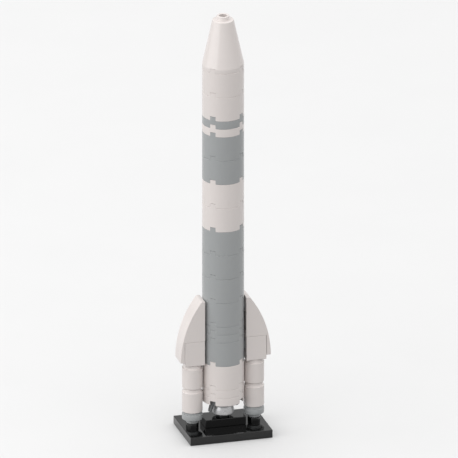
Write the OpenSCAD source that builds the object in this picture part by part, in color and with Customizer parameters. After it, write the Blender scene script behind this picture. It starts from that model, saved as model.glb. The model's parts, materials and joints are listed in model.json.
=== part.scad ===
// Display rocket built from stud-and-tube construction pieces on a small black stand.
// Frame: +Z up, +X to the right booster, origin at the centre of the stand's underside.

/* [Stud grid] */
// Distance from one stud to the next
pitch = 8; // [7:0.1:10]
// Height of a brick
brick_h = 9.6; // [8:0.1:12]
// Height of a plate
plate_h = 3.2; // [2.6:0.1:4]
// Diameter of a stud, a pin and of the bores that hold them
stud_d = 4.8; // [4:0.05:5.2]
// Height of a stud
stud_h = 1.6; // [1.2:0.05:2]
// Gap kept all round a piece inside its grid cell
cell_gap = 0.1; // [0.05:0.01:0.2]
// Radial clearance round a stud or pin that slides or turns
slip = 0.05; // [0.02:0.01:0.09]
// Gap kept between faces that pass each other
pass_gap = 0.1; // [0.05:0.01:0.2]
// Bevel on the rims of the round pieces
rim_bevel = 0.15; // [0.05:0.01:0.3]

/* [Round body pieces] */
// Thickness of the outer wall
wall = 1.45; // [1:0.05:1.8]
// Thickness of the centre tube's wall
tube_wall = 0.8; // [0.5:0.05:1]
// Thickness of the roof under the studs
roof = 1.2; // [0.8:0.05:1.5]
// Extra depth of the stud pockets in the bottom rim
pocket_extra = 0.12; // [0.05:0.01:0.4]
// Height of the pin bore's axis above the bottom of its brick
pin_rise = 5.6; // [5.4:0.05:5.8]
// Wall round a pin bore
pin_wall = 0.8; // [0.5:0.05:0.8]

/* [Stand] */
// Studs along the stand's length
stand_cells_x = 4; // [4:1:6]
// Grid cells across the stand's width
stand_cells_y = 3; // [2:1:5]
// Thickness of the stand's top skin
stand_skin = 1.1; // [0.8:0.05:1.5]
// Thickness of the stand's side walls
stand_wall = 1.4; // [1:0.05:1.8]

/* [Engine] */
// Height of the open space between the seat plate and the rocket
engine_gap = 6.4; // [5.6:0.1:9]
// Radius of the bell's mouth
bell_mouth_r = 4.2; // [3.8:0.05:4.4]
// Radius of the bell's throat
bell_throat_r = 2.75; // [2.6:0.05:2.9]
// How far the bell's mouth hangs over the seat's stud
bell_overhang = 0.4; // [0.2:0.05:0.8]
// Height of the straight lip at the bell's mouth
bell_lip_h = 0.35; // [0.2:0.05:0.6]
// Height of the straight collar above the bell's dome
bell_collar_h = 1.3; // [0.8:0.1:2]
// Thickness of a prong beside the bell
prong_t = 1.0; // [0.8:0.05:1.3]
// Width of a prong
prong_w = 1.8; // [1.4:0.1:2.4]
// How far a prong hangs below the rocket
prong_drop = 3.7; // [2:0.1:4.2]
// How far a prong's tip stands out from its root
prong_lean = 1.5; // [0.4:0.05:1.6]
// Turn of the two prongs round the rocket's axis
prong_turn = 20; // [0:1:45]

/* [Boosters] */
// Radius of the narrow open lip
lip_r = 3.45; // [3.3:0.05:3.6]
// Height of the narrow lip on a brick
lip_h = 1.6; // [1:0.05:2]
// Height of the narrow lip on the nozzle ring
nozzle_lip_h = 1.0; // [0.6:0.05:1.4]
// Depth of a booster brick's bore
booster_bore = 7.6; // [5:0.1:8]
// How far the hanger pin reaches into the root block
hanger_up = 2.9; // [1.5:0.1:3]
// How far the hanger pin reaches into the booster
hanger_down = 4.8; // [3:0.1:7]

/* [Fins] */
// How far a fin rises above the axis of the pin that holds it
fin_head = 4; // [3.5:0.1:8]
// How far a fin's foot reaches past the root block's grid cell
fin_over = 1.6; // [1:0.1:3]
// Thickness of the lip at a fin's top
fin_lip = 1.45; // [1:0.05:2]
// Thickness of a fin's curved skin
fin_skin = 1.4; // [1:0.05:1.6]
// Thickness of a fin's side cheeks
fin_cheek = 1.2; // [0.8:0.05:1.4]
// Thickness of solid fin above its hollow
fin_cap = 2.6; // [1.6:0.1:4]
// Height of the root block that shows under a fin
fin_heel = 1.6; // [0.8:0.1:3]

/* [Nose] */
// Height of the nose cone without its stud
nose_h = 19.2; // [14:0.2:26]
// Height of the straight rim at the cone's base
nose_rim_h = 1.6; // [1:0.1:3]
// Radius of the cone's top
nose_tip_r = 4; // [3:0.05:5]
// Bore that runs from the hollow stud at the tip down through the cone
tip_bore_d = 3.1; // [2.6:0.05:3.4]
// Thickness of the cone's wall
nose_wall = 1.5; // [1:0.05:1.8]

/* [Hidden] */
$fn = 64;
eps = 0.01;
stud_r = stud_d / 2;
slide_r = stud_r + slip;
round_r = pitch - cell_gap;
small_r = pitch / 2 - cell_gap;
tube_r = pitch / sqrt(2) - slide_r;
pocket_h = stud_h + pocket_extra;
plate_room = plate_h - roof;
ring_h = min(pocket_h, plate_room);
bore_wall_r = slide_r + pin_wall;
slit_w = 0.6;
slit_len = 3;

// Stack of round body pieces from the bottom up: P is a plate, B is a brick
STACK = "PPBBPPBBBBBBBBPPBB";
function piece_h(i) = STACK[i] == "P" ? plate_h : brick_h;
function stack_z(i) = i == 0 ? body_z : stack_z(i - 1) + piece_h(i - 1);

seat_z = plate_h;
seat_top = seat_z + plate_h;
perch_z = seat_top + stud_h;
body_z = seat_top + engine_gap;
fin_brick_z = stack_z(3);
fin_brick_top_z = stack_z(6);
lower_pin_z = fin_brick_z + pin_rise;
upper_pin_z = fin_brick_top_z + pin_rise;
nose_z = stack_z(18);
booster_x = 1.5 * pitch;
booster_top = fin_brick_z;
nozzle_z = plate_h + 2 * stud_h;
booster_low_z = nozzle_z + plate_h;
booster_h = (booster_top - booster_low_z) / 2;
fin_z = fin_brick_z + fin_heel;
fin_top = upper_pin_z + fin_head;
fin_h = fin_top - fin_z;
block_top = fin_brick_z + brick_h;
fin_reach = pitch + fin_over;
fin_rise = fin_reach - fin_lip;
fin_R = (fin_rise * fin_rise + fin_h * fin_h) / (2 * fin_rise);

WHITE = "#e9e4e1";
GREY = "#a3a5a6";
DARK = "#5d6062";
BLACK = "#1b1b1c";
SILVER = "#b9b8ba";

// ---------- shared shapes ----------

// Upright stud with a bevelled top edge
module stud(h = stud_h) {
    rotate_extrude() polygon([[0, -eps], [stud_r, -eps], [stud_r, h - rim_bevel], [stud_r - rim_bevel, h], [0, h]]);
}

// Leaves its child on the right (+1) or mirrors it to the left (-1)
module on_side(side) {
    if (side < 0) mirror([1, 0, 0]) children();
    else children();
}

// Places its child at the four studs of a 2 by 2 piece
module at_four_studs() {
    for (sx = [-1, 1], sy = [-1, 1]) translate([sx * pitch / 2, sy * pitch / 2, 0]) children();
}

// Outer body of a round 2 by 2 piece with both rims bevelled
module round_blank(h) {
    b = rim_bevel;
    rotate_extrude() polygon([[0, 0], [round_r - b, 0], [round_r, b], [round_r, h - b], [round_r - b, h], [0, h]]);
}

// Four studs trimmed flush with the round wall
module flush_studs(z) {
    intersection() {
        translate([0, 0, z]) at_four_studs() stud();
        translate([0, 0, z - 1]) cylinder(h = stud_h + 2, r = round_r);
    }
}

// Hollow under a round piece with its centre tube left standing, and the pockets for the studs below
module underside(h) {
    translate([0, 0, -eps]) difference() {
        cylinder(h = h - roof + eps, r = round_r - wall);
        translate([0, 0, -eps]) cylinder(h = h, r = tube_r);
    }
    translate([0, 0, -eps]) cylinder(h = h - roof + eps, r = tube_r - tube_wall);
    translate([0, 0, -eps]) at_four_studs() cylinder(h = min(pocket_h, h - roof) + eps, r = slide_r);
}

// Round 2 by 2 piece of any height
module round_piece(z, h) {
    translate([0, 0, z]) {
        difference() {
            round_blank(h);
            underside(h);
        }
        flush_studs(h);
    }
}

// Round brick with a bore across it for the pins
module round_piece_with_bore(z, h) {
    translate([0, 0, z]) difference() {
        union() {
            difference() {
                round_blank(h);
                underside(h);
            }
            flush_studs(h);
            intersection() {
                translate([0, 0, pin_rise]) rotate([0, 90, 0]) cylinder(h = 2 * round_r, r = bore_wall_r, center = true);
                cylinder(h = h, r = round_r - wall / 2);
            }
        }
        translate([0, 0, pin_rise]) rotate([0, 90, 0]) cylinder(h = 4 * pitch, r = slide_r, center = true);
    }
}

// ---------- stand ----------

module stand_plate() {
    len_x = stand_cells_x * pitch;
    len_y = stand_cells_y * pitch;
    deep = plate_h - stand_skin;
    color(BLACK) {
        difference() {
            translate([-len_x / 2, -len_y / 2, 0]) cube([len_x, len_y, plate_h]);
            translate([-len_x / 2 + stand_wall, -len_y / 2 + stand_wall, -eps])
                cube([len_x - 2 * stand_wall, len_y - 2 * stand_wall, deep + eps]);
        }
        for (i = [1:stand_cells_x - 1], j = [1:stand_cells_y - 1])
            translate([(i - stand_cells_x / 2) * pitch, (j - stand_cells_y / 2) * pitch, 0]) difference() {
                cylinder(h = deep + eps, r = tube_r);
                translate([0, 0, -eps]) cylinder(h = deep + eps, r = stud_r);
            }
        for (i = [0:stand_cells_x - 1]) translate([(i + 0.5 - stand_cells_x / 2) * pitch, 0, plate_h]) stud();
    }
}

module seat_plate() {
    color(BLACK) translate([0, 0, seat_z]) {
        difference() {
            translate([-pitch + cell_gap, -pitch / 2 + cell_gap, 0])
                cube([2 * (pitch - cell_gap), pitch - 2 * cell_gap, plate_h]);
            for (s = [-1, 1]) translate([s * pitch / 2, 0, -eps]) cylinder(h = pocket_h + eps, r = slide_r);
        }
        translate([0, 0, plate_h]) stud();
    }
}

// ---------- engine ----------

module engine_bell() {
    mouth_z = perch_z - bell_overhang;
    lip_z = mouth_z + bell_lip_h;
    flare_h = body_z - bell_collar_h - lip_z;
    spread = bell_mouth_r - bell_throat_r;
    neck_r = tube_r - tube_wall - slip;
    neck_top = body_z + plate_room - pass_gap;
    dome = [for (turn = [0:9:90]) [bell_throat_r + spread * cos(turn), lip_z + flare_h * sin(turn)]];
    color(SILVER) rotate_extrude() polygon(concat(
        [[0, perch_z], [slide_r + pin_wall / 4, perch_z], [bell_mouth_r - bell_lip_h, mouth_z], [bell_mouth_r, mouth_z]],
        dome,
        [[bell_throat_r, body_z - pass_gap], [neck_r, body_z - pass_gap],
         [neck_r, neck_top - rim_bevel], [neck_r - rim_bevel, neck_top], [0, neck_top]]));
}

// Ring inside the base plate with two curved prongs beside the bell
module prong_yoke() {
    ring_in = tube_r + slip;
    ring_out = round_r - wall;
    root_out = ring_out - prong_lean;
    steps = 8;
    outer = [for (i = [0:steps]) let (t = i / steps) [root_out + prong_lean * t * (2 - t), body_z - prong_drop * t]];
    inner = [for (i = [0:steps]) let (t = 1 - i / steps) [root_out - prong_t + (prong_lean + prong_t / 5) * t, body_z - prong_drop * t]];
    color(DARK) {
        translate([0, 0, body_z]) difference() {
            cylinder(h = ring_h, r = ring_out);
            translate([0, 0, -1]) cylinder(h = ring_h + 2, r = ring_in);
        }
        for (turn = [0, 180]) rotate([0, 0, prong_turn + turn]) translate([0, prong_w / 2, 0]) rotate([90, 0, 0])
            linear_extrude(prong_w) polygon(concat([[root_out, body_z + ring_h / 2]], outer, inner,
                [[root_out - prong_t, body_z + ring_h / 2]]));
    }
}

// ---------- round body ----------

module base_plate_lower() { color(WHITE) round_piece(stack_z(0), plate_h); }
module base_plate_upper() { color(WHITE) round_piece(stack_z(1), plate_h); }
module skirt_brick() { color(WHITE) round_piece(stack_z(2), brick_h); }
module fin_brick_lower() { color(GREY) round_piece_with_bore(stack_z(3), brick_h); }
module spacer_plate_lower() { color(GREY) round_piece(stack_z(4), plate_h); }
module spacer_plate_upper() { color(GREY) round_piece(stack_z(5), plate_h); }
module fin_brick_upper() { color(GREY) round_piece_with_bore(stack_z(6), brick_h); }
module tank_brick_lower() { color(GREY) round_piece(stack_z(7), brick_h); }
module tank_brick_middle() { color(GREY) round_piece(stack_z(8), brick_h); }
module tank_brick_upper() { color(GREY) round_piece(stack_z(9), brick_h); }
module interstage_brick_lower() { color(WHITE) round_piece(stack_z(10), brick_h); }
module interstage_brick_upper() { color(WHITE) round_piece(stack_z(11), brick_h); }
module stage_two_brick_lower() { color(GREY) round_piece(stack_z(12), brick_h); }
module stage_two_brick_upper() { color(GREY) round_piece(stack_z(13), brick_h); }
module band_plate_white() { color(WHITE) round_piece(stack_z(14), plate_h); }
module band_plate_grey() { color(GREY) round_piece(stack_z(15), plate_h); }
module payload_brick_lower() { color(WHITE) round_piece(stack_z(16), brick_h); }
module payload_brick_upper() { color(WHITE) round_piece(stack_z(17), brick_h); }

module nose_cone() {
    b = rim_bevel;
    color(WHITE) translate([0, 0, nose_z]) difference() {
        union() {
            rotate_extrude() polygon([[0, 0], [round_r - b, 0], [round_r, b], [round_r, nose_rim_h],
                [nose_tip_r, nose_h], [0, nose_h]]);
            translate([0, 0, nose_h]) stud();
        }
        rotate_extrude() polygon([[tube_r, -eps], [round_r - nose_wall, -eps], [round_r - nose_wall, nose_rim_h],
            [tube_r, nose_h * (round_r - nose_wall - tube_r) / (round_r - nose_tip_r)]]);
        translate([0, 0, -eps]) cylinder(h = plate_h + eps, r = tube_r - tube_wall);
        cylinder(h = nose_h + 2 * stud_h, d = tip_bore_d);
        translate([0, 0, -eps]) at_four_studs() cylinder(h = pocket_h + eps, r = slide_r);
    }
}

// ---------- fins and what holds them ----------

// Upright 1 by 1 brick with a bore across it, one stud on top and a socket below
module root_block(side) {
    color(WHITE) translate([side * booster_x, 0, fin_brick_z]) {
        difference() {
            translate([-small_r, -small_r, 0]) cube([2 * small_r, 2 * small_r, brick_h]);
            translate([0, 0, pin_rise]) rotate([0, 90, 0]) cylinder(h = 2 * pitch, r = slide_r, center = true);
            translate([0, 0, -eps]) cylinder(h = hanger_up + eps, r = slide_r);
        }
        translate([0, 0, brick_h]) stud();
    }
}
module root_block_left() { root_block(-1); }
module root_block_right() { root_block(1); }

// Plain pin from the rocket's axis to the block's outer face
module root_pin(side) {
    length = 2 * pitch - 2 * cell_gap;
    color(DARK) translate([side * cell_gap, 0, lower_pin_z]) rotate([0, side * 90, 0]) difference() {
        cylinder(h = length, r = stud_r);
        translate([0, 0, length - pitch / 2]) cylinder(h = pitch, r = stud_r / 2);
        translate([-slit_w / 2, -pitch / 2, length - slit_len]) cube([slit_w, pitch, 2 * slit_len]);
    }
}
module root_pin_left() { root_pin(-1); }
module root_pin_right() { root_pin(1); }

// Pin whose outer end is a stud for the fin
module stud_pin(side) {
    color(DARK) translate([side * cell_gap, 0, upper_pin_z]) rotate([0, side * 90, 0])
        stud(pitch + stud_h - cell_gap);
}
module stud_pin_left() { stud_pin(-1); }
module stud_pin_right() { stud_pin(1); }

// Upright pin that a booster hangs and turns on
module hanger_pin(side) {
    b = rim_bevel;
    color(DARK) translate([side * booster_x, 0, booster_top]) rotate_extrude()
        polygon([[0, -hanger_down], [stud_r - b, -hanger_down], [stud_r, b - hanger_down], [stud_r, hanger_up], [0, hanger_up]]);
}
module hanger_pin_left() { hanger_pin(-1); }
module hanger_pin_right() { hanger_pin(1); }

// Side view of a fin: flat foot, curved back, thin lip. inset moves the curved back inwards
module fin_outline(inset, z_low, z_high, x_in) {
    cx = pitch + fin_reach - fin_R;
    r = fin_R - inset;
    steps = 24;
    function back_x(z) = cx + sqrt(r * r - pow(z - fin_z, 2));
    polygon(concat([[x_in, z_high], [x_in, z_low]],
        [for (i = [0:steps]) let (z = z_low + (z_high - z_low) * i / steps) [back_x(z), z]]));
}

module fin(side) {
    half = small_r;
    block_out = booster_x + small_r + pass_gap;
    shelf = block_top + pass_gap;
    inner_top = fin_top - fin_cap;
    color(WHITE) on_side(side) difference() {
        union() {
            difference() {
                translate([0, half, 0]) rotate([90, 0, 0]) linear_extrude(2 * half) fin_outline(0, fin_z, fin_top, pitch);
                translate([0, half - fin_cheek, 0]) rotate([90, 0, 0]) linear_extrude(2 * (half - fin_cheek))
                    fin_outline(fin_skin, shelf, inner_top, pitch - 1);
            }
            intersection() {
                translate([pitch, 0, upper_pin_z]) rotate([0, 90, 0]) cylinder(h = fin_reach, r = bore_wall_r);
                translate([0, half, 0]) rotate([90, 0, 0]) linear_extrude(2 * half)
                    fin_outline(fin_skin / 2, fin_z, fin_top - fin_skin / 2, pitch);
            }
        }
        translate([pitch - 1, 0, upper_pin_z]) rotate([0, 90, 0]) cylinder(h = 1 + stud_h + pass_gap, r = slide_r);
        translate([0, -pitch, fin_z - 1]) cube([block_out, 2 * pitch, shelf - fin_z + 1]);
    }
}
module fin_left() { fin(-1); }
module fin_right() { fin(1); }

// ---------- boosters, built upside down: open lip up, stud down ----------

module booster_brick(side, z) {
    b = rim_bevel;
    color(WHITE) translate([side * booster_x, 0, z]) difference() {
        union() {
            rotate_extrude() polygon([[0, 0], [small_r - b, 0], [small_r, b], [small_r, booster_h - lip_h],
                [lip_r, booster_h - lip_h], [lip_r, booster_h], [0, booster_h]]);
            mirror([0, 0, 1]) stud();
        }
        translate([0, 0, booster_h - booster_bore]) cylinder(h = booster_bore + eps, r = slide_r);
    }
}

// Its stud hangs just over the stand's stud
module booster_nozzle(side) {
    b = rim_bevel;
    color(GREY) translate([side * booster_x, 0, nozzle_z]) difference() {
        union() {
            rotate_extrude() polygon([[0, 0], [small_r - b, 0], [small_r, b], [small_r, plate_h - nozzle_lip_h],
                [lip_r, plate_h - nozzle_lip_h], [lip_r, plate_h], [0, plate_h]]);
            mirror([0, 0, 1]) stud(stud_h - pass_gap);
        }
        translate([0, 0, roof]) cylinder(h = plate_h, r = slide_r);
    }
}

module booster_left_upper() { booster_brick(-1, booster_low_z + booster_h); }
module booster_left_lower() { booster_brick(-1, booster_low_z); }
module booster_left_nozzle() { booster_nozzle(-1); }
module booster_right_upper() { booster_brick(1, booster_low_z + booster_h); }
module booster_right_lower() { booster_brick(1, booster_low_z); }
module booster_right_nozzle() { booster_nozzle(1); }

stand_plate();
seat_plate();
engine_bell();
prong_yoke();
base_plate_lower();
base_plate_upper();
skirt_brick();
fin_brick_lower();
spacer_plate_lower();
spacer_plate_upper();
fin_brick_upper();
tank_brick_lower();
tank_brick_middle();
tank_brick_upper();
root_block_left();
root_block_right();
root_pin_left();
root_pin_right();
stud_pin_left();
stud_pin_right();
hanger_pin_left();
hanger_pin_right();
fin_left();
fin_right();
booster_left_upper();
booster_left_lower();
booster_left_nozzle();
booster_right_upper();
booster_right_lower();
booster_right_nozzle();
interstage_brick_lower();
interstage_brick_upper();
stage_two_brick_lower();
stage_two_brick_upper();
band_plate_white();
band_plate_grey();
payload_brick_lower();
payload_brick_upper();
nose_cone();
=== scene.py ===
"""Looks of the display rocket: moulded plastic pieces on an 8 mm stud grid, built around the CAD frame."""
import json
import math

import bmesh
import bpy
from mathutils import Matrix, Vector


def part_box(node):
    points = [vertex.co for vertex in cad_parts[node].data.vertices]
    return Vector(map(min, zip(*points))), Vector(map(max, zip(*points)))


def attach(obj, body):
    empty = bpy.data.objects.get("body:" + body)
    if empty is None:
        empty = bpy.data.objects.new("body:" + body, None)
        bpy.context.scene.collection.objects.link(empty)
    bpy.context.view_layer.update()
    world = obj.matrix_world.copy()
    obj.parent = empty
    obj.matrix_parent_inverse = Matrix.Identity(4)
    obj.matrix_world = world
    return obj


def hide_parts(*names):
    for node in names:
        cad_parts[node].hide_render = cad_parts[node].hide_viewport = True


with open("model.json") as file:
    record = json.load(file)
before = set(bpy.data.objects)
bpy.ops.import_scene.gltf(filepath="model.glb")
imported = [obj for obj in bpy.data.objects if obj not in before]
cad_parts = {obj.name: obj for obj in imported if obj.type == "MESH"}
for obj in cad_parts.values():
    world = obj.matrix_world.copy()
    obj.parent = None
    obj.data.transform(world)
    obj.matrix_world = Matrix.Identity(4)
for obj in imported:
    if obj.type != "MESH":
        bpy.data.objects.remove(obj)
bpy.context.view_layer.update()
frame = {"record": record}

# ---------- driving dimensions, in millimetres ----------

MM = 0.001
PITCH = 8.0
STUD_R = 2.4
STUD_H = 1.6
SLIP = 0.05
WALL = 1.45
ROOF = 1.2
TUBE_WALL = 0.8
NOSE_WALL = 1.5
TUBE_R = PITCH / math.sqrt(2) - STUD_R - 2 * SLIP
POCKET_H = 1.72
PIN_RISE = 5.6
PASS_GAP = 0.1
RIM = 0.19
STEPS = 96


def node_box(node):
    """Lowest and highest corner of a CAD node, in millimetres."""
    low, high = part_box(node)
    return low / MM, high / MM


# ---------- mesh tools ----------

def soften(corners, arc=3):
    """Closed outline whose corners (x, y, radius) are rounded; a corner without a radius stays sharp."""
    points = []
    for i, corner in enumerate(corners):
        here = Vector(corner[:2])
        if len(corner) < 3:
            points.append(here)
            continue
        back = (Vector(corners[i - 1][:2]) - here).normalized()
        ahead = (Vector(corners[(i + 1) % len(corners)][:2]) - here).normalized()
        half = back.angle(ahead) / 2
        centre = here + (back + ahead).normalized() * corner[2] / math.sin(half)
        start = here + back * corner[2] / math.tan(half) - centre
        turn = start.angle_signed(here + ahead * corner[2] / math.tan(half) - centre)
        for k in range(arc + 1):
            points.append(centre + Matrix.Rotation(-turn * k / arc, 2) @ start)
    return points


def lathe(outline, steps=STEPS):
    """Solid of revolution about Z from a closed outline of (radius, height)."""
    bm = bmesh.new()
    rings = []
    for r, z in outline:
        if r < 1e-6:
            rings.append([bm.verts.new((0, 0, z))] * steps)
            continue
        turn = 2 * math.pi / steps
        angles = [turn * k for k in range(steps)]
        rings.append([bm.verts.new((r * math.cos(a), r * math.sin(a), z)) for a in angles])
    for i, ring in enumerate(rings):
        upper = rings[(i + 1) % len(rings)]
        for k in range(steps):
            corners = [ring[k], ring[(k + 1) % steps], upper[(k + 1) % steps], upper[k]]
            unique = list(dict.fromkeys(corners))
            if len(unique) > 2:
                bm.faces.new(unique)
    bmesh.ops.recalc_face_normals(bm, faces=bm.faces)
    return bm


def rod(radius, low, high, rim=0.0, steps=48):
    """Upright rod with a rounded top edge."""
    top = (radius, high, rim) if rim else (radius, high)
    return lathe(soften([(0, low), (radius, low), top, (0, high)]), steps)


def slab(outline, low, high, rim=0.0):
    """Upright prism over an XY outline; rim rounds every edge that turns sharply."""
    bm = bmesh.new()
    floor_ring = [bm.verts.new((x, y, low)) for x, y in outline]
    roof_ring = [bm.verts.new((x, y, high)) for x, y in outline]
    bm.faces.new(list(reversed(floor_ring)))
    bm.faces.new(roof_ring)
    for k in range(len(outline)):
        j = (k + 1) % len(outline)
        bm.faces.new([floor_ring[k], floor_ring[j], roof_ring[j], roof_ring[k]])
    bmesh.ops.recalc_face_normals(bm, faces=bm.faces)
    if rim:
        sharp = [e for e in bm.edges if e.calc_face_angle() > math.radians(30)]
        bmesh.ops.bevel(bm, geom=sharp, offset=rim, segments=3, profile=0.5, affect="EDGES")
    return bm


def block(low, high, rim=0.0):
    """Box between two corners, with rounded edges."""
    outline = [(low[0], low[1]), (high[0], low[1]), (high[0], high[1]), (low[0], high[1])]
    return slab(outline, low[2], high[2], rim)


def placed(bm, matrix):
    """The same shape, moved or turned."""
    bmesh.ops.transform(bm, matrix=matrix, verts=bm.verts)
    if matrix.determinant() < 0:
        bmesh.ops.reverse_faces(bm, faces=bm.faces)
    return bm


def shift(x=0.0, y=0.0, z=0.0):
    return Matrix.Translation((x, y, z))


ALONG_X = Matrix.Rotation(math.radians(90), 4, "Y")
STAND_UP = Matrix.Rotation(math.radians(90), 4, "X")


def loose_object(bm):
    mesh = bpy.data.meshes.new("shape")
    bm.to_mesh(mesh)
    bm.free()
    thing = bpy.data.objects.new("shape", mesh)
    bpy.context.scene.collection.objects.link(thing)
    return thing


def combine(base, *steps):
    """Applies ("UNION" | "DIFFERENCE" | "INTERSECT", shape) steps to a base shape, in order."""
    thing = loose_object(base)
    tools = []
    for operation, shape in steps:
        tool = loose_object(shape)
        tools.append(tool)
        modifier = thing.modifiers.new("step", "BOOLEAN")
        modifier.solver = "MANIFOLD"
        modifier.operation = operation
        modifier.object = tool
    evaluated = thing.evaluated_get(bpy.context.evaluated_depsgraph_get())
    result = bmesh.new()
    result.from_mesh(evaluated.to_mesh())
    evaluated.to_mesh_clear()
    for loose in [thing, *tools]:
        mesh = loose.data
        bpy.data.objects.remove(loose)
        bpy.data.meshes.remove(mesh)
    bmesh.ops.remove_doubles(result, verts=result.verts, dist=1e-4)
    return result


def finished_mesh(name, bm, crease=38):
    """Turns a shape in millimetres into a mesh in metres, smooth except over sharp edges."""
    bmesh.ops.scale(bm, vec=(MM, MM, MM), verts=bm.verts)
    mesh = bpy.data.meshes.new(name)
    bm.to_mesh(mesh)
    bm.free()
    mesh.shade_smooth()
    mesh.set_sharp_from_angle(angle=math.radians(crease))
    return mesh


def add_piece(name, mesh, body, material, nodes, lift=0.0):
    """Puts a finished mesh in the scene as one piece that stands for its CAD nodes."""
    piece = bpy.data.objects.new(name, mesh)
    piece.location.z = lift * MM
    bpy.context.scene.collection.objects.link(piece)
    if not mesh.materials:
        mesh.materials.append(material)
    piece.material_slots[0].link = "OBJECT"
    piece.material_slots[0].material = material
    even = piece.modifiers.new("even_shading", "WEIGHTED_NORMAL")
    even.keep_sharp = True
    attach(piece, body)
    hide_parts(*nodes)
    return piece


# ---------- node groups shared by the materials ----------

def new_group(name, inputs, outputs):
    """Shader node group with named float, vector or colour sockets."""
    group = bpy.data.node_groups.new(name, "ShaderNodeTree")
    kinds = {"f": "NodeSocketFloat", "v": "NodeSocketVector", "c": "NodeSocketColor"}
    for socket, kind in inputs:
        group.interface.new_socket(socket, in_out="INPUT", socket_type=kinds[kind])
    for socket, kind in outputs:
        group.interface.new_socket(socket, in_out="OUTPUT", socket_type=kinds[kind])
    return group, group.nodes.new("NodeGroupInput"), group.nodes.new("NodeGroupOutput")


def noise(tree, vector, scale, detail=3.0, roughness=0.5):
    node = tree.nodes.new("ShaderNodeTexNoise")
    node.inputs["Scale"].default_value = scale
    node.inputs["Detail"].default_value = detail
    node.inputs["Roughness"].default_value = roughness
    tree.links.new(vector, node.inputs["Vector"])
    return node.outputs["Fac"]


def maths(tree, operation, first, second=None, third=None):
    node = tree.nodes.new("ShaderNodeMath")
    node.operation = operation
    for socket, value in zip(node.inputs, (first, second, third)):
        if isinstance(value, (int, float)):
            socket.default_value = value
        elif value is not None:
            tree.links.new(value, socket)
    return node.outputs[0]


def remap(tree, value, low, high, to_low=0.0, to_high=1.0):
    node = tree.nodes.new("ShaderNodeMapRange")
    node.interpolation_type = "SMOOTHSTEP"
    for socket, number in zip(("From Min", "From Max", "To Min", "To Max"), (low, high, to_low, to_high)):
        node.inputs[socket].default_value = number
    tree.links.new(value, node.inputs["Value"])
    return node.outputs["Result"]


def stretch(tree, vector, scale, turn):
    node = tree.nodes.new("ShaderNodeMapping")
    node.inputs["Scale"].default_value = scale
    node.inputs["Rotation"].default_value = turn
    tree.links.new(vector, node.inputs["Vector"])
    return node.outputs["Vector"]


def build_piece_place():
    """Object coordinates in millimetres, shifted by a random amount for each piece."""
    group, _, out = new_group("piece_place", [], [("Place", "v"), ("Chance", "f")])
    place = group.nodes.new("ShaderNodeTexCoord")
    info = group.nodes.new("ShaderNodeObjectInfo")
    grow = group.nodes.new("ShaderNodeVectorMath")
    grow.operation = "SCALE"
    grow.inputs["Scale"].default_value = 1 / MM
    group.links.new(place.outputs["Object"], grow.inputs[0])
    move = group.nodes.new("ShaderNodeVectorMath")
    move.operation = "ADD"
    group.links.new(grow.outputs[0], move.inputs[0])
    far = maths(group, "MULTIPLY", info.outputs["Random"], 311.0)
    group.links.new(far, move.inputs[1])
    group.links.new(move.outputs[0], out.inputs["Place"])
    group.links.new(info.outputs["Random"], out.inputs["Chance"])
    return group


def build_mould_skin():
    """Slow waves and a fine grain that a polished steel mould leaves on plastic."""
    sockets = [("Place", "v"), ("Waves", "f"), ("Grain", "f")]
    group, data, out = new_group("mould_skin", sockets, [("Height", "f")])
    waves = maths(group, "MULTIPLY", noise(group, data.outputs["Place"], 0.16, 2.0), data.outputs["Waves"])
    grain = maths(group, "MULTIPLY", noise(group, data.outputs["Place"], 9.0, 3.0), data.outputs["Grain"])
    group.links.new(maths(group, "ADD", waves, grain), out.inputs["Height"])
    return group


def build_hairlines():
    """Fine rubbed lines in two directions, in patches, from handling."""
    group, data, out = new_group("hairlines", [("Place", "v"), ("Amount", "f")], [("Mask", "f")])
    place = data.outputs["Place"]
    upright = stretch(group, place, (0.5, 0.5, 14), (0.5, 0.2, 0.3))
    crosswise = stretch(group, place, (11, 0.6, 0.6), (0.1, 0.7, 1.1))
    first = remap(group, noise(group, upright, 1.6, 2.0), 0.66, 0.72)
    second = remap(group, noise(group, crosswise, 1.3, 2.0), 0.67, 0.73)
    patches = remap(group, noise(group, place, 0.22, 2.0), 0.46, 0.66)
    lines = maths(group, "MAXIMUM", first, second)
    mask = maths(group, "MULTIPLY", maths(group, "MULTIPLY", lines, patches), data.outputs["Amount"])
    group.links.new(mask, out.inputs["Mask"])
    return group


def build_edge_rub():
    """Edges that fingers and neighbours rub: 1 on an edge, 0 on a face."""
    group, data, out = new_group("edge_rub", [("Place", "v"), ("Amount", "f")], [("Mask", "f")])
    plain = group.nodes.new("ShaderNodeNewGeometry").outputs["Normal"]
    rounded = group.nodes.new("ShaderNodeBevel")
    rounded.samples = 4
    rounded.inputs["Radius"].default_value = 0.22 * MM
    dot = group.nodes.new("ShaderNodeVectorMath")
    dot.operation = "DOT_PRODUCT"
    group.links.new(plain, dot.inputs[0])
    group.links.new(rounded.outputs["Normal"], dot.inputs[1])
    edge = remap(group, maths(group, "SUBTRACT", 1.0, dot.outputs["Value"]), 0.015, 0.12)
    broken = remap(group, noise(group, data.outputs["Place"], 1.1, 4.0, 0.65), 0.38, 0.66)
    mask = maths(group, "MULTIPLY", maths(group, "MULTIPLY", edge, broken), data.outputs["Amount"])
    group.links.new(mask, out.inputs["Mask"])
    return group


PIECE_PLACE = build_piece_place()
MOULD_SKIN = build_mould_skin()
HAIRLINES = build_hairlines()
EDGE_RUB = build_edge_rub()


def place_group(tree, group, **values):
    """One use of a shared group, with its own numbers or links."""
    node = tree.nodes.new("ShaderNodeGroup")
    node.node_tree = group
    for socket, value in values.items():
        if isinstance(value, (int, float)):
            node.inputs[socket].default_value = value
        else:
            tree.links.new(value, node.inputs[socket])
    return node.outputs


# ---------- materials ----------

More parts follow.
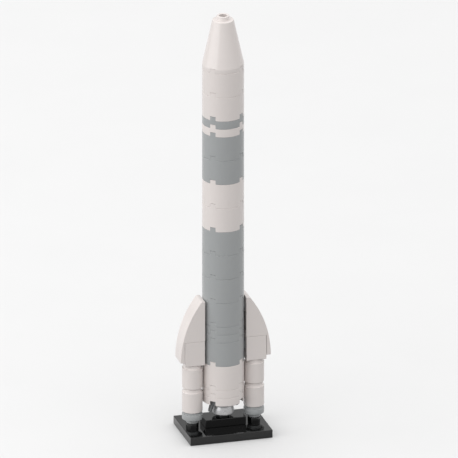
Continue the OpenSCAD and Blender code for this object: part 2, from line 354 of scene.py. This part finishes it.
def mix_colours(tree, factor, first, second):
    node = tree.nodes.new("ShaderNodeMix")
    node.data_type = "RGBA"
    tree.links.new(factor, node.inputs["Factor"])
    for socket, value in ((node.inputs[6], first), (node.inputs[7], second)):
        if isinstance(value, tuple):
            socket.default_value = (*value, 1)
        else:
            tree.links.new(value, socket)
    return node.outputs[2]


def moulded_plastic(name, colour, drift, rubbed, roughness, waves=1.0, grain=0.03, marks=0.5, metallic=0.0):
    """Glossy injection-moulded plastic: colour drifting a little, rubbed edges, hairlines and mould waves."""
    material = bpy.data.materials.new(name)
    material.use_nodes = True
    tree = material.node_tree
    shader = tree.nodes["Principled BSDF"]
    shader.inputs["IOR"].default_value = 1.5
    shader.inputs["Metallic"].default_value = metallic
    piece = place_group(tree, PIECE_PLACE)
    lines = place_group(tree, HAIRLINES, Place=piece["Place"], Amount=marks)["Mask"]
    edges = place_group(tree, EDGE_RUB, Place=piece["Place"], Amount=marks)["Mask"]
    skin = place_group(tree, MOULD_SKIN, Place=piece["Place"], Waves=waves, Grain=grain)["Height"]
    cloud = noise(tree, piece["Place"], 0.35, 3.0)
    from_piece = maths(tree, "MULTIPLY", piece["Chance"], 0.4)
    wander = maths(tree, "ADD", maths(tree, "MULTIPLY", cloud, 0.6), from_piece)
    body_colour = mix_colours(tree, wander, colour, drift)
    tree.links.new(mix_colours(tree, edges, body_colour, rubbed), shader.inputs["Base Color"])
    uneven = maths(tree, "MULTIPLY_ADD", cloud, 0.10, roughness - 0.05)
    scuffed = maths(tree, "MULTIPLY_ADD", maths(tree, "MAXIMUM", lines, edges), 0.22, uneven)
    tree.links.new(scuffed, shader.inputs["Roughness"])
    bump = tree.nodes.new("ShaderNodeBump")
    bump.inputs["Strength"].default_value = 0.35
    bump.inputs["Distance"].default_value = 0.03 * MM
    tree.links.new(maths(tree, "MULTIPLY_ADD", lines, -0.15, skin), bump.inputs["Height"])
    tree.links.new(bump.outputs["Normal"], shader.inputs["Normal"])
    return material


def pale_floor(name):
    """Matt pale floor with the faintest mottling."""
    material = bpy.data.materials.new(name)
    material.use_nodes = True
    tree = material.node_tree
    shader = tree.nodes["Principled BSDF"]
    place = tree.nodes.new("ShaderNodeTexCoord").outputs["Object"]
    mottling = noise(tree, place, 30.0, 4.0)
    colour = mix_colours(tree, mottling, (0.692, 0.692, 0.692), (0.712, 0.712, 0.712))
    tree.links.new(colour, shader.inputs["Base Color"])
    shader.inputs["Roughness"].default_value = 0.7
    shader.inputs["Specular IOR Level"].default_value = 0.2
    return material


WHITE = moulded_plastic("white_plastic", (0.74, 0.685, 0.66), (0.71, 0.66, 0.64), (0.80, 0.76, 0.74), 0.22)
GREY = moulded_plastic("grey_plastic", (0.355, 0.366, 0.368), (0.335, 0.346, 0.35), (0.44, 0.45, 0.45), 0.22)
DARK = moulded_plastic("dark_grey_plastic",
                       (0.17, 0.174, 0.177), (0.155, 0.16, 0.163), (0.26, 0.26, 0.26), 0.30)
BLACK = moulded_plastic("black_plastic",
                        (0.0035, 0.0035, 0.0037), (0.0045, 0.0045, 0.0045), (0.02, 0.02, 0.02), 0.07,
                        waves=0.4, grain=0.008, marks=0.25)
SILVER = moulded_plastic("silver_lacquer", (0.53, 0.53, 0.535), (0.49, 0.49, 0.495), (0.62, 0.62, 0.62), 0.28,
                         waves=0.6, grain=0.02, metallic=0.4)

FINISH = {
    "white_plastic": WHITE,
    "grey_plastic": GREY,
    "dark_grey_plastic": DARK,
    "black_plastic": BLACK,
    "silver_plastic": SILVER,
}
SLOT_OF = {row["node"]: row["material_slot"] for row in frame["record"]["subparts"]}
BODY_OF = {node: body for body, nodes in frame["record"]["behaviour"]["bodies"].items() for node in nodes}


def make(node, mesh, lift=0.0):
    """One finished piece in place of the CAD node of the same name."""
    slot = SLOT_OF[node]
    return add_piece(node + "_piece", mesh, BODY_OF[node], FINISH[slot], [node], lift)


# ---------- round body pieces ----------

ROUND_R = node_box("skirt_brick")[1].x


def four_studs():
    return [(sx * PITCH / 2, sy * PITCH / 2) for sx in (-1, 1) for sy in (-1, 1)]


def stud_steps(height):
    """Boolean steps that stand four studs on a round piece, flush with its wall."""
    steps = []
    for x, y in four_studs():
        stud = placed(rod(STUD_R, height - 0.6, height + STUD_H, RIM), shift(x, y))
        flush = combine(stud, ("INTERSECT", rod(ROUND_R, height - 1, height + 2, steps=STEPS)))
        steps.append(("UNION", flush))
    return steps


def pocket_steps():
    """Boolean steps that let the studs of the piece below show through the bottom rim."""
    return [("DIFFERENCE", placed(rod(STUD_R + SLIP, -1, POCKET_H), shift(x, y))) for x, y in four_studs()]


def round_shell(height):
    """Round wall, roof and centre tube in one closed solid."""
    inner = ROUND_R - WALL
    bore = TUBE_R - TUBE_WALL
    ceiling = height - ROOF
    return lathe(soften([
        (0, height), (ROUND_R, height, RIM), (ROUND_R, 0, RIM), (inner, 0, RIM / 2), (inner, ceiling, 0.3),
        (TUBE_R, ceiling, 0.2), (TUBE_R, 0, RIM / 2), (bore, 0, RIM / 2), (bore, ceiling), (0, ceiling)]))


def round_mesh(height, with_bore=False):
    steps = stud_steps(height) + pocket_steps()
    if with_bore:
        tube = placed(rod(STUD_R + 0.8, -ROUND_R + WALL / 2, ROUND_R - WALL / 2), ALONG_X)
        bore = placed(rod(STUD_R + SLIP, -2 * PITCH, 2 * PITCH), ALONG_X)
        steps.append(("UNION", placed(tube, shift(z=PIN_RISE))))
        steps.append(("DIFFERENCE", placed(bore, shift(z=PIN_RISE))))
    return finished_mesh(f"round_{height:.1f}", combine(round_shell(height), *steps))


def make_round_pieces():
    """Every piece of the stack, from one mesh for each height and kind."""
    stack = [node for node in SLOT_OF if ("plate" in node or "brick" in node)
             and node not in ("stand_plate", "seat_plate")]
    meshes = {}
    for node in stack:
        low, high = node_box(node)
        kind = (round(high.z - low.z - STUD_H, 2), node.startswith("fin_brick"))
        if kind not in meshes:
            meshes[kind] = round_mesh(*kind)
        make(node, meshes[kind], low.z)


def make_nose():
    """Cone with a short straight rim, hollow below, and a hollow stud at its tip."""
    low, high = node_box("nose_cone")
    height = high.z - low.z - STUD_H
    rim_h, tip_r, bore_r = 1.6, 4.0, 1.55
    inner = ROUND_R - NOSE_WALL
    peak = height * (inner - TUBE_R) / (ROUND_R - tip_r)
    socket_r, socket_h, top = TUBE_R - TUBE_WALL, 3.2, height + STUD_H
    shape = lathe(soften([
        (bore_r, top, 0.12), (STUD_R, top, RIM), (STUD_R, height, 0.08), (tip_r, height, 0.25),
        (ROUND_R, rim_h, 0.2), (ROUND_R, 0, RIM), (inner, 0, RIM / 2), (inner, rim_h), (TUBE_R, peak),
        (TUBE_R, 0, RIM / 2), (socket_r, 0, RIM / 2), (socket_r, socket_h), (bore_r, socket_h)]))
    shape = combine(shape, *pocket_steps())
    make("nose_cone", finished_mesh("nose", shape), low.z)


# ---------- stand and engine ----------

def make_stand():
    """Low box, open below with a grid of tubes, and one row of studs on top."""
    low, high = node_box("stand_plate")
    top = high.z - STUD_H
    wall, skin = 1.4, 1.1
    deep = top - skin
    steps = [("DIFFERENCE", block((low.x + wall, low.y + wall, -1), (high.x - wall, high.y - wall, deep)))]
    for x in (-PITCH, 0, PITCH):
        for y in (-PITCH / 2, PITCH / 2):
            sunk = deep + 0.2
            tube = lathe(soften([(STUD_R, 0, 0.08), (STUD_R, sunk), (TUBE_R, sunk), (TUBE_R, 0, 0.08)]), 64)
            steps.append(("UNION", placed(tube, shift(x, y))))
    for x in (-1.5 * PITCH, -0.5 * PITCH, 0.5 * PITCH, 1.5 * PITCH):
        steps.append(("UNION", placed(rod(STUD_R, top - 0.3, high.z, RIM), shift(x))))
    shell = block(low, (high.x, high.y, top), 0.2)
    make("stand_plate", finished_mesh("stand", combine(shell, *steps)))


def make_seat():
    """Two-cell plate with a single stud in its middle."""
    low, high = node_box("seat_plate")
    top = high.z - STUD_H
    steps = [("DIFFERENCE", placed(rod(STUD_R + SLIP, low.z - 1, low.z + POCKET_H), shift(s * PITCH / 2)))
             for s in (-1, 1)]
    steps.append(("UNION", rod(STUD_R, top - 0.3, high.z, RIM)))
    make("seat_plate", finished_mesh("seat", combine(block(low, (high.x, high.y, top), 0.2), *steps)))


def make_bell():
    """Domed engine bell that sits over the seat's stud, with a neck up into the rocket."""
    low, high = node_box("engine_bell")
    mouth_r, throat_r, neck_r = high.x, 2.75, TUBE_R - TUBE_WALL - SLIP
    perch = node_box("seat_plate")[1].z
    under = node_box("base_plate_lower")[0].z
    throat_z = under - 1.3
    lip = 0.35
    quarter = [math.radians(turn) for turn in range(0, 91, 6)]
    lip_z = low.z + lip
    outline = soften([
        (0, perch), (STUD_R + 0.25, perch, 0.1), (mouth_r - lip, low.z, 0.1), (mouth_r, low.z, 0.12)])
    for a in quarter:
        radius = throat_r + (mouth_r - throat_r) * math.cos(a)
        outline.append(Vector((radius, lip_z + (throat_z - lip_z) * math.sin(a))))
    outline += soften([
        (throat_r, under - PASS_GAP, 0.1), (neck_r, under - PASS_GAP), (neck_r, high.z, 0.15), (0, high.z)])
    make("engine_bell", finished_mesh("bell", lathe(outline)))


def make_yoke():
    """Ring inside the bottom plate with a curved prong on each side of the bell."""
    low, high = node_box("prong_yoke")
    under = node_box("base_plate_lower")[0].z
    wide, thick, lean, turn, narrowing = 1.8, 1.0, 1.5, 20, 0.2
    inner_r, outer_r = TUBE_R + SLIP, ROUND_R - WALL
    root = outer_r - lean
    drop = under - low.z
    steps = [i / 10 for i in range(11)]
    outer = [(root + lean * t * (2 - t), under - drop * t) for t in steps]
    inner = [(root - thick + (lean + thick / 5) * t, under - drop * t) for t in reversed(steps)]
    outline = [(root, under + 1)] + outer + inner + [(root - thick, under + 1)]
    shape = lathe([(inner_r, high.z), (outer_r, high.z), (outer_r, under), (inner_r, under)])
    for half in (0, 180):
        prong = placed(slab(outline, -wide / 2, wide / 2, 0.2), STAND_UP)
        for corner in prong.verts:
            corner.co.y *= 1 - narrowing * max(0, under - corner.co.z) / drop
        around = Matrix.Rotation(math.radians(turn + half), 4, "Z")
        shape = combine(shape, ("UNION", placed(prong, around)))
    make("prong_yoke", finished_mesh("yoke", shape))


# ---------- fins, root blocks and pins ----------

def fin_outline(inset, low, high, inner_x, outer_x, foot_z, top_z, lip):
    """Side view of a fin: straight inner edge, back curved on one arc that stands upright at the foot."""
    rise = outer_x - inner_x - lip
    tall = top_z - foot_z
    radius = (rise * rise + tall * tall) / (2 * rise)
    centre_x = outer_x - radius
    steps = 32
    back = []
    for i in range(steps + 1):
        z = low + (high - low) * i / steps
        back.append((centre_x + math.sqrt((radius - inset) ** 2 - (z - foot_z) ** 2), z))
    return back


def make_fin(node, side):
    low, high = node_box(node)
    block_high = node_box("root_block_right")[1]
    inner_x, outer_x = PITCH, max(abs(low.x), abs(high.x))
    half = high.y
    skin, cheek, lip, cap = 1.4, 1.2, 1.45, 2.6
    shape = (inner_x, outer_x, low.z, high.z, lip)
    shelf = block_high.z - STUD_H + PASS_GAP
    outside = [(inner_x, high.z), (inner_x, low.z)] + fin_outline(0, low.z, high.z, *shape)
    inside = fin_outline(skin, shelf, high.z - cap, *shape)
    hollow = [(inner_x - 1, inside[-1][1]), (inner_x - 1, shelf)] + inside
    back_top = high.z - skin / 2
    backing = [(inner_x, back_top), (inner_x, low.z)] + fin_outline(skin / 2, low.z, back_top, *shape)
    pin_z = node_box("fin_brick_upper")[0].z + PIN_RISE
    boss = combine(placed(placed(rod(STUD_R + 0.85, inner_x, outer_x), ALONG_X), shift(z=pin_z)),
                   ("INTERSECT", placed(slab(backing, -half, half), STAND_UP)))
    socket = placed(rod(STUD_R + SLIP, inner_x - 1, inner_x + STUD_H + PASS_GAP), ALONG_X)
    socket = placed(socket, shift(z=pin_z))
    notch = block((0, -PITCH, low.z - 1), (block_high.x + PASS_GAP, PITCH, shelf))
    body = combine(placed(slab(outside, -half, half, 0.22), STAND_UP),
                   ("DIFFERENCE", placed(slab(hollow, cheek - half, half - cheek), STAND_UP)),
                   ("UNION", boss), ("DIFFERENCE", socket), ("DIFFERENCE", notch))
    if side < 0:
        body = placed(body, Matrix.Diagonal((-1, 1, 1, 1)))
    make(node, finished_mesh(node, body))


def make_root_block(node, side):
    """Single-cell brick with a bore across it, a socket below and a stud above."""
    low, high = node_box(node)
    top = high.z - STUD_H
    middle = side * 1.5 * PITCH
    bore = placed(placed(rod(STUD_R + SLIP, -PITCH, PITCH), ALONG_X), shift(middle, 0, low.z + PIN_RISE))
    socket = placed(rod(STUD_R + SLIP, low.z - 1, low.z + 2.9), shift(middle))
    stud = placed(rod(STUD_R, top - 0.3, high.z, RIM), shift(middle))
    body = block(low, (high.x, high.y, top), 0.18)
    shape = combine(body, ("DIFFERENCE", bore), ("DIFFERENCE", socket), ("UNION", stud))
    make(node, finished_mesh(node, shape))


def make_pins(name, side):
    """The plain root pin, the stud-ended fin pin and the upright hanger pin of one side."""
    turn = Matrix.Rotation(math.radians(side * 90), 4, "Y")
    for kind, slit in (("root_pin_", True), ("stud_pin_", False)):
        low, high = node_box(kind + name)
        length = high.x - low.x
        start = min(abs(low.x), abs(high.x))
        shape = rod(STUD_R, 0, length, RIM)
        if slit:
            shape = combine(shape, ("DIFFERENCE", rod(STUD_R / 2, length - PITCH / 2, length + 1)),
                            ("DIFFERENCE", block((-0.3, -PITCH, length - 3), (0.3, PITCH, length + 1))))
        place = shift(side * start, 0, (low.z + high.z) / 2) @ turn
        make(kind + name, finished_mesh(kind + name, placed(shape, place)))
    low, high = node_box("hanger_pin_" + name)
    shape = lathe(soften([(0, low.z), (STUD_R, low.z, RIM), (STUD_R, high.z, RIM), (0, high.z)]), 64)
    make("hanger_pin_" + name, finished_mesh("hanger_pin_" + name, placed(shape, shift(side * 1.5 * PITCH))))


# ---------- boosters ----------

def make_booster(name, side):
    """Two single-cell round bricks upside down and a nozzle ring with its stud below."""
    lip_r, lip_h, nozzle_lip_h, bore_deep, chamfer = 3.45, 1.6, 1.0, 7.6, 0.45
    bore = STUD_R + SLIP
    wide = PITCH / 2 - 0.1
    middle = shift(side * 1.5 * PITCH)
    for part in ("upper", "lower"):
        node = f"booster_{name}_{part}"
        low, high = node_box(node)
        foot = low.z + STUD_H
        shape = lathe(soften([
            (0, low.z), (STUD_R, low.z, RIM), (STUD_R, foot, 0.06), (wide, foot, RIM),
            (wide, high.z - lip_h, RIM), (lip_r, high.z - lip_h, 0.06),
            (lip_r, high.z - chamfer, 0.05), (lip_r - chamfer, high.z, 0.05),
            (bore, high.z, 0.08), (bore, high.z - bore_deep), (0, high.z - bore_deep)]))
        make(node, finished_mesh(node, placed(shape, middle)))
    node = f"booster_{name}_nozzle"
    low, high = node_box(node)
    foot = high.z - 3.2
    shape = lathe(soften([
        (0, low.z), (STUD_R, low.z, RIM), (STUD_R, foot, 0.06), (wide, foot, 0.25),
        (wide, high.z - nozzle_lip_h, RIM), (lip_r, high.z - nozzle_lip_h, 0.06),
        (lip_r, high.z - chamfer, 0.05), (lip_r - chamfer, high.z, 0.05),
        (bore, high.z, 0.08), (bore, foot + ROOF), (0, foot + ROOF)]))
    make(node, finished_mesh(node, placed(shape, middle)))


# ---------- stage: floor, light and camera ----------

def make_floor():
    outline = [(1.6 * math.cos(a * math.pi / 48), 1.6 * math.sin(a * math.pi / 48)) for a in range(96)]
    sheet = slab(outline, -0.002, 0)
    mesh = bpy.data.meshes.new("floor")
    sheet.to_mesh(mesh)
    sheet.free()
    mesh.materials.append(pale_floor("pale_floor"))
    floor = bpy.data.objects.new("floor", mesh)
    bpy.context.scene.collection.objects.link(floor)
    floor.visible_diffuse = False


def add_soft_box(name, place, aim, width, height, power):
    light = bpy.data.lights.new(name, "AREA")
    light.shape = "RECTANGLE"
    light.size, light.size_y = width, height
    light.energy = power
    lamp = bpy.data.objects.new(name, light)
    lamp.location = place
    lamp.rotation_mode = "QUATERNION"
    lamp.rotation_quaternion = (Vector(aim) - Vector(place)).to_track_quat("-Z", "Y")
    bpy.context.scene.collection.objects.link(lamp)


def light_studio():
    """Pale room, dimmer low down behind and under the floor, with soft boxes above and on the left."""
    world = bpy.data.worlds.new("soft_room")
    bpy.context.scene.world = world
    world.use_nodes = True
    tree = world.node_tree
    background = tree.nodes["Background"]
    background.inputs["Color"].default_value = (1, 1, 1, 1)
    direction = tree.nodes.new("ShaderNodeTexCoord").outputs["Generated"]
    split = tree.nodes.new("ShaderNodeSeparateXYZ")
    tree.links.new(direction, split.inputs[0])
    dome = maths(tree, "MULTIPLY_ADD", split.outputs["Z"], 0.30, 1.0)
    far_side = remap(tree, split.outputs["Y"], 0.1, 0.7)
    low_down = remap(tree, split.outputs["Z"], 0.7, 0.3)
    dimmed = maths(tree, "MULTIPLY_ADD", maths(tree, "MULTIPLY", far_side, low_down), -0.45, 1.0)
    over_floor = remap(tree, split.outputs["Z"], -0.02, 0.02, 0.25, 1.0)
    strength = maths(tree, "MULTIPLY", maths(tree, "MULTIPLY", dome, dimmed), over_floor)
    tree.links.new(strength, background.inputs["Strength"])
    add_soft_box("overhead", (0.0, 0.45, 1.2), (0, 0.15, 0.0), 1.0, 1.0, 2.0)
    add_soft_box("side_panel", (-1.0, -0.12, 0.28), (0, 0, 0.10), 1.5, 0.5, 4.9)


def aim_camera():
    """Level camera without perspective, turned to the rocket's left and looking down on it."""
    turn, tilt, width = math.radians(-15.7), math.radians(21.8), 172.0
    back = Vector((math.sin(turn) * math.cos(tilt), -math.cos(turn) * math.cos(tilt), math.sin(tilt)))
    right = Vector((math.cos(turn), math.sin(turn), 0))
    up = back.cross(right)
    stand_top = Vector((0, 0, node_box("stand_plate")[1].z - STUD_H))
    centre = stand_top + 2.234 * right + 72.74 * up
    data = bpy.data.cameras.new("camera")
    data.type = "ORTHO"
    data.ortho_scale = width * MM
    data.clip_start, data.clip_end = 0.01, 10
    camera = bpy.data.objects.new("camera", data)
    camera.location = (centre + 900 * back) * MM
    camera.rotation_mode = "QUATERNION"
    camera.rotation_quaternion = (-back).to_track_quat("-Z", "Y")
    bpy.context.scene.collection.objects.link(camera)
    bpy.context.scene.camera = camera


make_round_pieces()
make_nose()
make_stand()
make_seat()
make_bell()
make_yoke()
for side_name, direction in (("left", -1), ("right", 1)):
    make_fin("fin_" + side_name, direction)
    make_root_block("root_block_" + side_name, direction)
    make_pins(side_name, direction)
    make_booster(side_name, direction)
make_floor()
light_studio()
aim_camera()
bpy.context.scene.view_settings.view_transform = "Standard"
bpy.context.scene.view_settings.look = "None"
